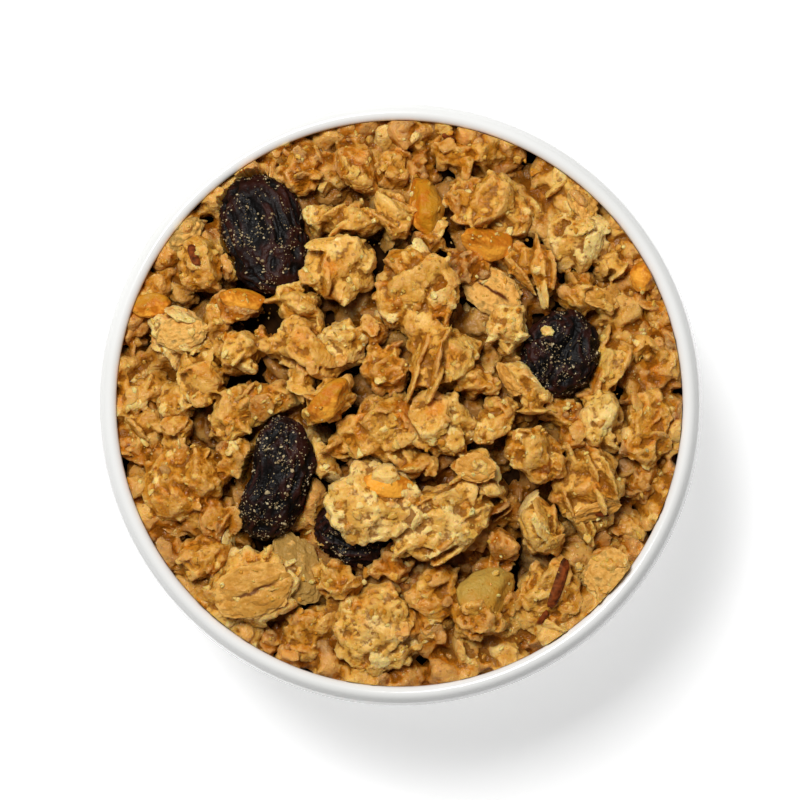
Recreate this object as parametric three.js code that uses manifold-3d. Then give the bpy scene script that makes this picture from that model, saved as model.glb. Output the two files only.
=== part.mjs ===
// A small porcelain snack bowl, heaped with baked oat granola and four raisins.
// Millimetres, +Z up, origin on the table under the middle of the foot ring. +Y is the far side of
// the bowl and +X its right side, seen from above.
import * as THREE from "three";
import { mergeVertices } from "three/addons/utils/BufferGeometryUtils.js";
import Module from "manifold-3d";

const wasm = await Module();
wasm.setup();

// Driving dimensions of the bowl
const RIM_HEIGHT = 36; // top of the lip above the table
const MOUTH_RADIUS = 35.4; // inside the lip
const LIP_THICKNESS = 1.9;
const INNER_BELLY = 36.3; // widest inside radius; the wall leans in above it
const OUTER_BELLY = 38.7;
const BELLY_HEIGHT = 23;
const FLOOR_INSIDE = 5.6; // height of the inside floor
const FLOOR_OUTSIDE = 2.2; // height of the underside inside the foot ring
const FOOT_OUTER = 19.2;
const FOOT_INNER = 16.4;
const WALL_CURVE = 2.3; // exponent of the wall's rounded section
const CURVE_STEPS = 6; // steps of the rounded part of a wall's section
const LEAN_STEPS = 3;
const BOWL_SEGMENTS = 40;

// Driving dimensions of the filling
const GAP = 0.3; // clearance between touching pieces
const EDGE_LEVEL = 34.8; // height of the heap's mean surface at the wall
const CROWN = 7.4; // how much higher the heap stands in the middle
const CORE_DEPTH = 2.8; // the bare core lies this far under the mean surface
const DOME_STEPS = 4;
const CORE_SEGMENTS = 20;
const ROOT_DEPTH = 1.3; // every piece reaches at least this far into the core
const ROOM_TOP = 56; // above every piece

// Lift of a piece's top over the mean surface
const TOP = 2.2;
const HIGH = 1.1;
const MID = -0.3;
const LOW = -1.4;

// Above the belly the wall leans in to the lip along a parabola.
const leaningRadius = (z, belly, lip) =>
  belly - (belly - lip) * ((z - BELLY_HEIGHT) / (RIM_HEIGHT - BELLY_HEIGHT)) ** 2;

// Section of one side of the wall from the middle of its floor up to a height: a rounded
// curve to the belly, then the lean.
function wallSection(floor, belly, lip, top) {
  const rounded = Array.from({ length: CURVE_STEPS + 1 }, (_, i) => {
    const angle = (Math.PI / 2) * (i / CURVE_STEPS);
    const out = Math.sin(angle) ** (2 / WALL_CURVE);
    const down = Math.max(0, Math.cos(angle)) ** (2 / WALL_CURVE);
    return new THREE.Vector2(belly * out, BELLY_HEIGHT - (BELLY_HEIGHT - floor) * down);
  });
  const leaning = Array.from({ length: LEAN_STEPS }, (_, i) => {
    const z = BELLY_HEIGHT + ((top - BELLY_HEIGHT) * (i + 1)) / LEAN_STEPS;
    return new THREE.Vector2(leaningRadius(z, belly, lip), z);
  });
  return [...rounded, ...leaning];
}

// The filling's side of the inside wall, a clearance away from it.
const fillingSection = (top) =>
  wallSection(FLOOR_INSIDE + GAP, INNER_BELLY - GAP, MOUTH_RADIUS - GAP, top);

// Mean height of the heap's surface at a distance from the axis.
const heapLevel = (r) => EDGE_LEVEL + CROWN * (1 - (r / MOUTH_RADIUS) ** 2);

// A repeatable stream of random numbers from 0 to 1.
function randomStream(seed) {
  let state = seed >>> 0;
  return () => {
    state = (state + 0x6d2b79f5) >>> 0;
    let t = state;
    t = Math.imul(t ^ (t >>> 15), t | 1);
    t ^= t + Math.imul(t ^ (t >>> 7), t | 61);
    return ((t ^ (t >>> 14)) >>> 0) / 4294967296;
  };
}

// A closed geometry as a manifold solid, and back.
function toSolid(geometry) {
  const bare = geometry.clone();
  bare.deleteAttribute("normal");
  bare.deleteAttribute("uv");
  const merged = mergeVertices(bare, 1e-4);
  return new wasm.Manifold(
    new wasm.Mesh({
      numProp: 3,
      vertProperties: merged.attributes.position.array,
      triVerts: new Uint32Array(merged.index.array),
    }),
  );
}

function toGeometry(solid) {
  const mesh = solid.getMesh();
  const geometry = new THREE.BufferGeometry();
  geometry.setAttribute("position", new THREE.BufferAttribute(mesh.vertProperties, 3));
  geometry.setIndex(new THREE.BufferAttribute(mesh.triVerts, 1));
  geometry.computeVertexNormals();
  return geometry;
}

// A round solid turned about the vertical axis from its half section.
const turned = (profile, segments = BOWL_SEGMENTS) =>
  new THREE.LatheGeometry(profile, segments).rotateX(Math.PI / 2);

// --- Bowl: one thrown wall with a rounded lip, standing on a turned foot ring ---
function bowlGeometry() {
  const lipRadius = LIP_THICKNESS / 2;
  const lipBase = RIM_HEIGHT - lipRadius;
  const lip = Array.from({ length: 5 }, (_, i) => {
    const angle = (Math.PI * (i + 1)) / 6;
    return new THREE.Vector2(
      MOUTH_RADIUS + lipRadius + lipRadius * Math.cos(angle),
      lipBase + lipRadius * Math.sin(angle),
    );
  });
  const outerLip = MOUTH_RADIUS + LIP_THICKNESS;
  const outside = wallSection(FLOOR_OUTSIDE, OUTER_BELLY, outerLip, lipBase);
  const inside = wallSection(FLOOR_INSIDE, INNER_BELLY, MOUTH_RADIUS, lipBase);
  const profile = [
    new THREE.Vector2(0, FLOOR_OUTSIDE),
    new THREE.Vector2(FOOT_INNER, FLOOR_OUTSIDE),
    new THREE.Vector2(FOOT_INNER + 0.5, 0),
    new THREE.Vector2(FOOT_OUTER - 0.4, 0),
    new THREE.Vector2(FOOT_OUTER, FLOOR_OUTSIDE),
    ...outside.filter((p) => p.x > FOOT_OUTER + 1),
    ...lip,
    ...inside.reverse(),
  ];
  return turned(profile);
}

// --- Raisins: shrivelled ovals, some pinched at the waist ---
// Each row: x, y of its middle, length, width, height, turn in degrees, lift of its top, share of
// the width lost at its waist, seed of its wrinkles
const RAISINS = {
  raisin_upper_left: [-16.7, 21.3, 15.6, 10.7, 7.6, -77, 0.9, 0.1, 3],
  raisin_right: [20.1, 6.5, 11.3, 9.9, 7.4, 60, 0.5, 0.02, 11],
  raisin_left: [-15.3, -9.4, 15.7, 9.3, 7.4, 71, 0.6, 0.16, 7],
  raisin_low: [-6.2, -16.4, 10.6, 7.8, 6.4, -25, -2.3, 0.05, 19],
};
const RAISIN_DETAIL = 2;
const RAISIN_WRINKLES = 7; // long folds round a raisin
const RAISIN_FOLD = 0.07; // their depth as a share of the radius

// An upright piece is turned about its own axis, leaned with the slope of the heap and lifted.
function placed(geometry, { x, y, height, turn, lift }) {
  const r = Math.hypot(x, y);
  const slope = Math.atan((2 * CROWN * r) / MOUTH_RADIUS ** 2);
  const lean = new THREE.Vector3(-y, x, 0).normalize();
  const matrix = new THREE.Matrix4().makeTranslation(x, y, heapLevel(r) + lift - height / 2);
  matrix.multiply(new THREE.Matrix4().makeRotationAxis(lean, slope));
  matrix.multiply(new THREE.Matrix4().makeRotationZ(THREE.MathUtils.degToRad(turn)));
  return geometry.applyMatrix4(matrix);
}

function raisinGeometry([x, y, length, width, height, turn, lift, waist, seed], growth = 0) {
  const random = randomStream(seed);
  const phases = Array.from({ length: 4 }, () => random() * 2 * Math.PI);
  const geometry = new THREE.IcosahedronGeometry(1, RAISIN_DETAIL);
  const position = geometry.attributes.position;
  const p = new THREE.Vector3();
  for (let i = 0; i < position.count; i++) {
    p.fromBufferAttribute(position, i);
    const round = Math.atan2(p.z, p.y);
    const ends = 1 - p.x * p.x;
    const fold =
      Math.sin(RAISIN_WRINKLES * round + phases[0] + 1.6 * p.x) * 0.6 +
      Math.sin((RAISIN_WRINKLES - 3) * round + phases[1] - 3.1 * p.x) * 0.4;
    const dent = 0.05 * Math.sin(5.2 * p.x + phases[2]) * Math.sin(2 * round + phases[3]);
    const pinch = 1 - waist * Math.exp(-((p.x / 0.3) ** 2));
    const scale = 1 + RAISIN_FOLD * fold * ends + dent;
    position.setXYZ(
      i,
      p.x * (length / 2 + growth) * (1 + dent),
      p.y * (width / 2 + growth) * scale * pinch,
      p.z * (height / 2 + growth) * scale,
    );
  }
  return placed(geometry, { x, y, height, turn, lift });
}

// --- Granola: oat clusters, flakes and nut pieces as they lie on the heap ---
// Each row: x, y of its middle, length, width, turn in degrees, lift of its top
const PIECES = {
  crest_gold: [-12.4, 29.8, 7.5, 6.3, 60, HIGH],
  collar_flake: [-21.4, 26.7, 6, 3.6, 45, MID],
  pale_chip: [-26.9, 21.3, 4.6, 3, 40, HIGH],
  skin_cluster: [-24.9, 17.5, 7.5, 6, 110, HIGH],
  amber_chip: [-21.2, 16.9, 3.6, 3, -45, MID],
  west_edge_a: [-30.4, 14.6, 5, 4, 20, MID],
  toasted_flakes: [-20.6, 12.3, 7, 3.8, 0, MID],
  under_raisin: [-12.6, 12.3, 6.6, 5, -30, HIGH],
  north_edge_a: [-5.6, 33, 6, 3.6, 10, MID],
  north_ring: [-4.9, 29.4, 7.5, 5, -60, HIGH],
  north_lumps: [-0.9, 29.6, 7, 4.2, 80, MID],
  north_bone: [6.6, 31, 7.6, 4, -45, HIGH],
  north_edge_b: [11, 32, 8.6, 4, -18, HIGH],
  almond_nib: [3.2, 24.8, 7.2, 4, -80, HIGH],
  saddle: [-0.9, 23.6, 7.6, 4.6, -60, HIGH],
  stick: [-6.2, 22.7, 6.5, 3.6, 30, HIGH],
  stick_foot: [-9.7, 22.7, 5, 3.4, 0, MID],
  big_stack: [-7.4, 16.7, 8.6, 8, -60, TOP],
  big_rock: [2.2, 13.9, 11.4, 8.6, -80, HIGH],
  long_slab: [11.3, 24.4, 12, 6.6, -25, HIGH],
  amber_nib: [10.7, 19.8, 6.4, 3.8, -10, TOP],
  crease_flake: [12.2, 12.4, 9.4, 5.8, -60, TOP],
  east_edge_a: [21.6, 26.2, 8.4, 6.2, -50, HIGH],
  pale_shelf: [21.7, 20.1, 8.5, 7, -45, HIGH],
  pale_shelf_end: [25.9, 17.3, 4.6, 4, 0, MID],
  blade: [17.9, 16.4, 7, 2.8, 95, HIGH],
  blade_stack: [15.1, 17.9, 6, 3.5, -50, MID],
  beige_flake: [24.8, 13.1, 4.6, 2.6, -8, MID],
  toasted_pair: [30, 16.4, 5.6, 3.8, -65, MID],
  raisin_brow: [21.8, 13, 5, 3, -20, MID],
  white_plate: [-28, 8.3, 8.2, 5.8, 0, HIGH],
  plate_end: [-23.1, 9.4, 4.4, 4, 0, MID],
  gold_block: [-24.8, 2.8, 7.2, 5.8, -45, HIGH],
  star_flake: [-27.7, 0.5, 5.6, 4.6, -30, MID],
  knuckle: [-19.9, 6.3, 5.8, 5.2, -30, HIGH],
  knuckle_flake: [-16.9, 7.3, 4, 2, -55, MID],
  west_edge_b: [-31.6, 1.9, 6, 4, 20, MID],
  west_edge_c: [-31.6, -3, 6, 4.6, 5, MID],
  spike_cluster: [-20.3, -1.4, 8, 5.6, 55, HIGH],
  spike_foot: [-20.2, -6.8, 5.4, 4.6, 0, MID],
  curl: [-27.7, -3.1, 4.8, 3.2, -50, MID],
  crumble_west: [-28.2, -10.4, 9.6, 7.6, -15, HIGH],
  crumble_flake: [-24.2, -8.6, 6.4, 5, -50, HIGH],
  wide_bank: [-11.6, 6.7, 9.6, 6.4, -20, HIGH],
  wide_bank_end: [-6.8, 7.3, 5.8, 5.4, 0, HIGH],
  bank_foot: [-12.1, 2.9, 5, 3.6, 80, MID],
  low_shelf: [-16, 0.8, 7, 4, 0, MID],
  ochre_flake: [-3.4, 9, 4.4, 3.8, 0, MID],
  fist: [-1.9, 4.2, 6.8, 5.4, -60, MID],
  amber_wedge: [-8.6, 0.2, 7.4, 4.6, 35, HIGH],
  ridged_cluster: [5.1, 5.4, 8.6, 7.4, 70, HIGH],
  smooth_bank: [-3.6, -2.7, 8.6, 7.6, 50, MID],
  spiky_cluster: [4.7, -2.7, 9.5, 7, -20, HIGH],
  gold_ledge: [9.2, 2.6, 5.6, 4, 0, MID],
  ledge_end: [11.8, -2, 6.4, 4.6, 60, MID],
  beige_plate: [9.4, -7.7, 5, 4.2, -10, HIGH],
  thin_plate: [10.9, -10.6, 5, 2.4, -5, MID],
  bright_rock: [-2.7, -12.1, 12, 9.2, -8, TOP],
  centre_shelf: [1.7, -7.4, 6.5, 3, -5, MID],
  slanted_brick: [15.7, 2.2, 7.4, 4.2, -38, HIGH],
  east_ridge: [26.1, 4.4, 8, 3.2, 72, MID],
  east_cluster: [25.3, -2.1, 7.6, 5.6, 90, HIGH],
  toasted_bar: [21.6, -3.1, 7, 3.2, 80, MID],
  east_back: [30, 7, 6, 4, -10, MID],
  east_bank: [31, -3, 9.4, 6.6, 80, HIGH],
  lip_cluster: [17.1, -6.2, 7.8, 6, -15, HIGH],
  striped_block: [23.6, -10.8, 9.8, 8, -65, HIGH],
  amber_block: [30, -9.8, 5.6, 5, 70, MID],
  toasted_plate: [-23.1, -14.2, 6.4, 4, 10, MID],
  slope_block: [-24.7, -19.4, 8.6, 5.2, 25, HIGH],
  great_cluster: [-18.9, -22.9, 13, 8.6, 25, TOP],
  edge_flake: [-21.2, -26, 6, 4, -20, MID],
  south_west: [-11.4, -28.9, 7.4, 6, 40, MID],
  flat_lump: [-8.3, -21.8, 5.6, 4.4, 0, MID],
  ribbed_cluster: [5.1, -14.8, 13, 7.6, 32, HIGH],
  south_rock: [-2.7, -28, 11.6, 10, -50, HIGH],
  south_bank: [4.6, -24.2, 8.6, 6, 80, MID],
  almond_cluster: [10.2, -26, 9, 6.6, 50, HIGH],
  toasted_chip: [12.6, -17.7, 5, 3, -55, MID],
  leaning_block: [17.7, -15.6, 7.6, 5.2, -65, HIGH],
  striped_cluster: [18.6, -24.4, 10.4, 7, 80, HIGH],
  south_east: [26.4, -21, 8, 6.4, 35, HIGH],
  east_low: [28.4, -15.4, 5.6, 4.4, 30, MID],
  south_low: [15.6, -30.4, 8, 3.8, 30, LOW],
};
const PIECE_HEIGHT = 0.72; // height of a piece as a share of its width, where it reaches the core
const CHIP_LENGTH = 7; // a piece shorter than this has 20 faces, and a longer one 80
const PIECE_SWELL = 1.1; // makes up for the flat faces, so that neighbours touch
const PIECE_JITTER = 0.18; // unevenness of its faces as a share of its radius

// A lumpy faceted chunk: each corner of an icosahedral ball is moved in or out at random.
function pieceGeometry([x, y, length, width, turn, lift], seed) {
  const height = Math.max(width * PIECE_HEIGHT, lift + CORE_DEPTH + ROOT_DEPTH);
  const random = randomStream(seed);
  const geometry = mergeVertices(bareBall(length < CHIP_LENGTH ? 0 : 1));
  const position = geometry.attributes.position;
  for (let i = 0; i < position.count; i++) {
    const scale = PIECE_SWELL + PIECE_JITTER * (2 * random() - 1);
    position.setXYZ(
      i,
      (position.getX(i) * scale * length) / 2,
      (position.getY(i) * scale * width) / 2,
      (position.getZ(i) * scale * height) / 2,
    );
  }
  return placed(geometry, { x, y, height, turn, lift });
}

function bareBall(detail) {
  const geometry = new THREE.IcosahedronGeometry(1, detail);
  geometry.deleteAttribute("normal");
  geometry.deleteAttribute("uv");
  return geometry;
}

// The bare core domes up to a little under the pieces. It is wider and deeper than the bowl's
// inside, which cuts it to shape.
function coreSolid() {
  const dome = Array.from({ length: DOME_STEPS + 1 }, (_, i) => {
    const r = MOUTH_RADIUS * (1 - i / DOME_STEPS);
    return new THREE.Vector2(r, heapLevel(r) - CORE_DEPTH);
  });
  const brim = new THREE.Vector2(OUTER_BELLY, dome[0].y);
  const profile = [new THREE.Vector2(0, 0), new THREE.Vector2(OUTER_BELLY, 0), brim, ...dome];
  return toSolid(turned(profile, CORE_SEGMENTS));
}

// The room that the bowl leaves for the granola, open upwards over the lip.
function roomSolid() {
  const profile = [
    ...fillingSection(RIM_HEIGHT),
    new THREE.Vector2(MOUTH_RADIUS - GAP, ROOM_TOP),
    new THREE.Vector2(0, ROOM_TOP),
  ];
  return toSolid(turned(profile));
}

function heapSolid() {
  const pieces = Object.values(PIECES).map((row, i) => toSolid(pieceGeometry(row, 100 + i)));
  const room = roomSolid();
  let heap = wasm.Manifold.union([coreSolid(), ...pieces]).intersect(room);
  for (const raisin of Object.values(RAISINS)) {
    heap = heap.subtract(toSolid(raisinGeometry(raisin, GAP)));
  }
  // Cutting round the raisins can leave loose scraps: the largest body is the heap.
  return heap.decompose().reduce((a, b) => (a.volume() > b.volume() ? a : b));
}

const bowlMaterial = new THREE.MeshStandardMaterial({ color: 0xf4f3ef, roughness: 0.25 });
const granolaMaterial = new THREE.MeshStandardMaterial({ color: 0xc8924a, roughness: 0.75 });
const raisinMaterial = new THREE.MeshStandardMaterial({ color: 0x261318, roughness: 0.45 });

function named(name, geometry, material) {
  const mesh = new THREE.Mesh(geometry, material);
  mesh.name = name;
  return mesh;
}

const bowlOfGranola = new THREE.Group();
bowlOfGranola.add(named("bowl", bowlGeometry(), bowlMaterial));
bowlOfGranola.add(named("granola", toGeometry(heapSolid()), granolaMaterial));
for (const [name, raisin] of Object.entries(RAISINS)) {
  bowlOfGranola.add(named(name, raisinGeometry(raisin), raisinMaterial));
}

export default bowlOfGranola;
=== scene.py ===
"""A porcelain snack bowl heaped with baked oat granola, nut pieces and four raisins.

Metres, +Z up. The bowl stands on the table at the origin. +Y is its far side and +X its right
side, seen from above.
"""

import math

import bmesh
import bpy
import numpy as np
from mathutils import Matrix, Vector, noise
from mathutils.bvhtree import BVHTree


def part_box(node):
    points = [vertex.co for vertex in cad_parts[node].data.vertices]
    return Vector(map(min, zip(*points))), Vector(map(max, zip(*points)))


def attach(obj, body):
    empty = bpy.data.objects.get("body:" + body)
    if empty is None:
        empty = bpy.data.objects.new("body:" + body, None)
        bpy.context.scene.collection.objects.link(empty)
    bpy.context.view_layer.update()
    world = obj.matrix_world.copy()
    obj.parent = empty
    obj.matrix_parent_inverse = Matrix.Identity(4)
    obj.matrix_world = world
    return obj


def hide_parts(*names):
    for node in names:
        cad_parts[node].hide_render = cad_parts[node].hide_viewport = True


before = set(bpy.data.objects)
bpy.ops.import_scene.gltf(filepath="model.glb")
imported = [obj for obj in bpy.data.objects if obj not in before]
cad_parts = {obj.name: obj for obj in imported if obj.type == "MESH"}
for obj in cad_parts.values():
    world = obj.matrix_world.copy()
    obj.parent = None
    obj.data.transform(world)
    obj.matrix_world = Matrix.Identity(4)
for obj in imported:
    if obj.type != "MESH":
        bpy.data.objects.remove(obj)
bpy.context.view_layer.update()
MM = 0.001


# --- Table top, studio light and camera ------------------------------------------------------
# A white light table, lit a little from below, under one soft lamp towards the far left. The
# camera looks straight down through a long lens.
def new_material(name, roughness):
    """A material with its node tree and its Principled shader."""
    material = bpy.data.materials.new(name)
    material.use_nodes = True
    shader = material.node_tree.nodes["Principled BSDF"]
    shader.inputs["Roughness"].default_value = roughness
    return material, material.node_tree, shader


scene = bpy.context.scene
MOUTH_RADIUS = 35.4 * MM
RIM_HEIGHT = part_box("bowl")[1].z
VIEW_DISTANCE = 0.42
NEAREST_SEEN = 0.01
FIELD_AT_RIM = 100 * MM  # width of the view at the height of the rim
SENSOR = 36.0
FIELD_CENTRE = Vector((0.06, 0.44)) * MM  # point of the table under the lens

camera = bpy.data.objects.new("camera", bpy.data.cameras.new("camera"))
camera.data.sensor_width = SENSOR
camera.data.lens = SENSOR * VIEW_DISTANCE / FIELD_AT_RIM
camera.data.clip_start = NEAREST_SEEN
camera.location = (*FIELD_CENTRE, RIM_HEIGHT + VIEW_DISTANCE)
scene.collection.objects.link(camera)
scene.camera = camera

LAMP_SIZE = 0.17
LAMP_POWER = 2.72
LAMP_PLACE = Vector((-0.11, 0.18, 0.52))
lamp_beam = Vector((0, 0, RIM_HEIGHT)) - LAMP_PLACE
lamp = bpy.data.objects.new("softbox", bpy.data.lights.new("softbox", "AREA"))
lamp.data.shape = "SQUARE"
lamp.data.size = LAMP_SIZE
lamp.data.energy = LAMP_POWER
lamp.location = LAMP_PLACE
lamp.rotation_euler = lamp_beam.to_track_quat("-Z", "Y").to_euler()
scene.collection.objects.link(lamp)

WHITE = (1, 1, 1, 1)
ROOM_LIGHT = 0.12
world = bpy.data.worlds.new("studio")
world.use_nodes = True
world.node_tree.nodes["Background"].inputs["Color"].default_value = WHITE
world.node_tree.nodes["Background"].inputs["Strength"].default_value = ROOM_LIGHT
scene.world = world
scene.view_settings.view_transform = "Standard"

TABLE_SIZE = 2.4
TABLE_WHITE = (0.8, 0.8, 0.8, 1)
TABLE_GLOW = 0.5
TABLE_ROUGHNESS = 0.6
mesh = bpy.data.meshes.new("table_top")
bm = bmesh.new()
bmesh.ops.create_grid(bm, x_segments=1, y_segments=1, size=TABLE_SIZE / 2)
bm.to_mesh(mesh)
bm.free()
table_top = bpy.data.objects.new("table_top", mesh)
material, _, shader = new_material("table_white", TABLE_ROUGHNESS)
shader.inputs["Base Color"].default_value = TABLE_WHITE
shader.inputs["Emission Color"].default_value = WHITE
shader.inputs["Emission Strength"].default_value = TABLE_GLOW
mesh.materials.append(material)
scene.collection.objects.link(table_top)


# --- Bowl ------------------------------------------------------------------------------------
# Thrown porcelain with a clear gloss glaze over a white body. The wall is thin and leans in to a
# rounded lip, and the bowl stands on a turned foot ring whose edge is left unglazed.
LIP_THICKNESS = 1.9 * MM
INNER_BELLY = 36.3 * MM
OUTER_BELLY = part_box("bowl")[1].x
BELLY_HEIGHT = 23 * MM
FLOOR_INSIDE = 5.6 * MM
FLOOR_OUTSIDE = 2.2 * MM
FOOT_OUTER = 19.2 * MM
FOOT_INNER = 16.4 * MM
FOOT_BEVEL = 0.4 * MM
FOOT_CORNER = 1 * MM  # the wall starts this far outside the foot ring
WALL_CURVE = 2.3  # exponent of the wall's rounded section
WALL_STEPS = 26
LIP_STEPS = 10
BOWL_STEPS = 144


def leaning_radius(z, belly, lip):
    """Radius of a wall above its belly, where it leans in to the lip."""
    return belly - (belly - lip) * ((z - BELLY_HEIGHT) / (RIM_HEIGHT - BELLY_HEIGHT)) ** 2


def wall_section(floor, belly, lip, top):
    """(radius, height) points from the middle of the floor up one side of the wall."""
    points = []
    for i in range(WALL_STEPS + 1):
        angle = math.pi / 2 * i / WALL_STEPS
        out = math.sin(angle) ** (2 / WALL_CURVE)
        down = max(0.0, math.cos(angle)) ** (2 / WALL_CURVE)
        points.append((belly * out, BELLY_HEIGHT - (BELLY_HEIGHT - floor) * down))
    for i in range(1, LIP_STEPS + 1):
        z = BELLY_HEIGHT + (top - BELLY_HEIGHT) * i / LIP_STEPS
        points.append((leaning_radius(z, belly, lip), z))
    return points


def spun(name, profile, steps):
    """An object turned about the bowl's axis from (radius, height) points that end on the axis."""
    bm = bmesh.new()
    corners = [bm.verts.new((radius, 0, height)) for radius, height in profile]
    edges = [bm.edges.new(pair) for pair in zip(corners, corners[1:])]
    bmesh.ops.spin(
        bm, geom=corners + edges, cent=(0, 0, 0), axis=(0, 0, 1),
        angle=2 * math.pi, steps=steps, use_merge=True,
    )
    bmesh.ops.remove_doubles(bm, verts=bm.verts, dist=1e-6)
    bmesh.ops.recalc_face_normals(bm, faces=bm.faces)
    mesh = bpy.data.meshes.new(name)
    bm.to_mesh(mesh)
    bm.free()
    mesh.shade_smooth()
    piece = bpy.data.objects.new(name, mesh)
    scene.collection.objects.link(piece)
    return piece


def shade(red, green, blue):
    """A colour as it shows on a screen, 0 to 255, as a linear RGBA value."""
    channels = np.array([red, green, blue]) / 255
    linear = np.where(channels <= 0.04045, channels / 12.92, ((channels + 0.055) / 1.055) ** 2.4)
    return (*(float(value) for value in linear), 1.0)


def grain_noise(tree, size, detail=2.0):
    """Noise whose features are about the given size in metres, from 0 to 1."""
    place = tree.nodes.new("ShaderNodeTexCoord")
    node = tree.nodes.new("ShaderNodeTexNoise")
    node.inputs["Scale"].default_value = 1 / size
    node.inputs["Detail"].default_value = detail
    tree.links.new(place.outputs["Object"], node.inputs["Vector"])
    return node.outputs["Fac"]


def colour_scale(tree, value, stops):
    """Colours at their positions from 0 to 1, read at a value."""
    node = tree.nodes.new("ShaderNodeValToRGB")
    ramp = node.color_ramp
    for element, (position, colour) in zip(ramp.elements, (stops[0], stops[-1])):
        element.position = position
        element.color = colour
    for position, colour in stops[1:-1]:
        ramp.elements.new(position).color = colour
    tree.links.new(value, node.inputs["Fac"])
    return node.outputs["Color"]


def mixed(tree, factor, first, second):
    """A colour between two others; the factor and the colours are numbers or sockets."""
    node = tree.nodes.new("ShaderNodeMix")
    node.data_type = "RGBA"
    for name, value in (("Factor", factor), ("A", first), ("B", second)):
        if isinstance(value, (float, tuple)):
            node.inputs[name].default_value = value
        else:
            tree.links.new(value, node.inputs[name])
    return node.outputs["Result"]


def add_bump(tree, shader, height, depth, strength):
    """Fine relief of a real depth, in metres, on a shader and on its coat."""
    node = tree.nodes.new("ShaderNodeBump")
    node.inputs["Strength"].default_value = strength
    node.inputs["Distance"].default_value = depth
    tree.links.new(height, node.inputs["Height"])
    tree.links.new(node.outputs["Normal"], shader.inputs["Normal"])
    tree.links.new(node.outputs["Normal"], shader.inputs["Coat Normal"])
    return node


lip_radius = LIP_THICKNESS / 2
lip_base = RIM_HEIGHT - lip_radius
lip_middle = MOUTH_RADIUS + lip_radius
lip_arc = [
    (lip_middle + lip_radius * math.cos(a), lip_base + lip_radius * math.sin(a))
    for a in (math.pi * i / LIP_STEPS for i in range(1, LIP_STEPS))
]
outside = wall_section(FLOOR_OUTSIDE, OUTER_BELLY, MOUTH_RADIUS + LIP_THICKNESS, lip_base)
inside = wall_section(FLOOR_INSIDE, INNER_BELLY, MOUTH_RADIUS, lip_base)
foot = [
    (0, FLOOR_OUTSIDE),
    (FOOT_INNER - FOOT_BEVEL, FLOOR_OUTSIDE),
    (FOOT_INNER, FLOOR_OUTSIDE - FOOT_BEVEL),
    (FOOT_INNER + FOOT_BEVEL, FOOT_BEVEL),
    (FOOT_INNER + 2 * FOOT_BEVEL, 0),
    (FOOT_OUTER - FOOT_BEVEL, 0),
    (FOOT_OUTER, FOOT_BEVEL),
    (FOOT_OUTER, FLOOR_OUTSIDE),
]
flank = [point for point in outside if point[0] > FOOT_OUTER + FOOT_CORNER]
bowl = spun("porcelain_bowl", foot + flank + lip_arc + inside[::-1], BOWL_STEPS)

GLAZE_ROUGHNESS = 0.14
CLAY_ROUGHNESS = 0.8
GLAZE_WHITES = ((0.3, shade(240, 240, 237)), (0.7, shade(245, 245, 243)))
BARE_CLAY = shade(226, 219, 207)
GLAZED_ABOVE = 0.9 * MM
BARE_BELOW = 0.6 * MM
MOTTLES_PER_METRE = 60
GLAZE_RIPPLE = 0.2 * MM
porcelain, tree, shader = new_material("white_porcelain", GLAZE_ROUGHNESS)
mottle = grain_noise(tree, 1 / MOTTLES_PER_METRE, 3)
place = tree.nodes.new("ShaderNodeTexCoord")
height = tree.nodes.new("ShaderNodeSeparateXYZ")
tree.links.new(place.outputs["Object"], height.inputs["Vector"])
bare = tree.nodes.new("ShaderNodeMapRange")
bare.inputs["From Min"].default_value = GLAZED_ABOVE
bare.inputs["From Max"].default_value = BARE_BELOW
tree.links.new(height.outputs["Z"], bare.inputs["Value"])
dryness = tree.nodes.new("ShaderNodeMapRange")
dryness.inputs["To Min"].default_value = GLAZE_ROUGHNESS
dryness.inputs["To Max"].default_value = CLAY_ROUGHNESS
tree.links.new(bare.outputs["Result"], dryness.inputs["Value"])
tree.links.new(dryness.outputs["Result"], shader.inputs["Roughness"])
glaze = colour_scale(tree, mottle, GLAZE_WHITES)
tree.links.new(mixed(tree, bare.outputs["Result"], glaze, BARE_CLAY), shader.inputs["Base Color"])
add_bump(tree, shader, mottle, GLAZE_RIPPLE, 0.08)
bowl.data.materials.append(porcelain)
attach(bowl, "root")
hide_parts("bowl")


# --- Bed of the heap -------------------------------------------------------------------------
# The imported granola under the pieces that show. It fills the bowl up to a few millimetres under
# the surface and shows only as crumbs at the bottom of the gaps, coloured dark brown to near black as
# painted shade.
GAP = 0.3 * MM
EDGE_LEVEL = 34.8 * MM  # height of the heap's mean surface at the wall
CROWN = 7.4 * MM
BED_DEPTH = 7.4 * MM  # the bed lies this far under the mean surface
BED_STEPS = 72
BED_SHADE_TONES = ((0.0, shade(58, 32, 8)), (1.0, shade(20, 10, 2)))
GRITS_PER_METRE = 900
GRIT_DEPTH = 0.6 * MM


def heap_level(x, y):
    """Height of the heap's mean surface over a point of the table."""
    return EDGE_LEVEL + CROWN * (1 - (x * x + y * y) / MOUTH_RADIUS**2)


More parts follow.
